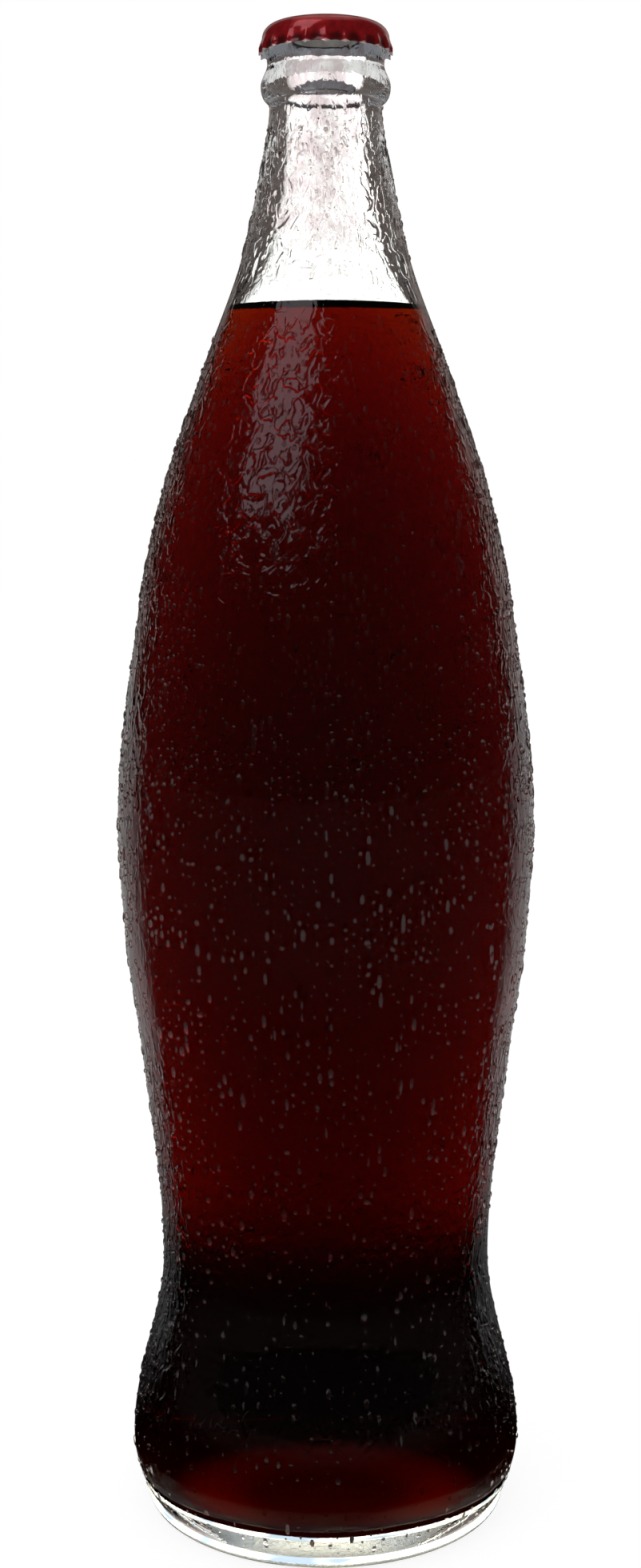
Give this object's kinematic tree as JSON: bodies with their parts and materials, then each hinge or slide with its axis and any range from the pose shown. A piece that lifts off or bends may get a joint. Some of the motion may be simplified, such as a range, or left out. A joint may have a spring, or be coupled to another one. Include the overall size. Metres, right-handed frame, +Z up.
{
  "type": "soda bottle",
  "caption": "Waisted clear glass soda bottle with raised vertical ribs above and below a smooth band, full of dark cola and closed by a red fluted crown cap.",
  "frame": {"origin": "centre of the base, on the plane the bottle stands on", "axes": "+Z up along the bottle's axis through the mouth and the crown cap; -Y towards a viewer in front of one rib"},
  "size_m": [0.0884, 0.0884, 0.312],
  "materials": {
    "clear_glass": "clear, wet with condensation",
    "cola": "dark red-brown liquid, clear in thin layers",
    "crown_paint": "glossy red lacquer on tinplate, bare along the cut edge",
    "crown_liner": "soft moulded plastic"
  },
  "bodies": {
    "filled_bottle": {"bottle": "clear_glass", "cola": "cola"},
    "cap": {"crown_shell": "crown_paint", "crown_liner": "crown_liner"}
  },
  "joints": [
    {"name": "cap_lift", "type": "slide", "parent": "filled_bottle", "child": "cap", "axis": [0, 0, 1], "range_m": [0, 0.05]}
  ]
}
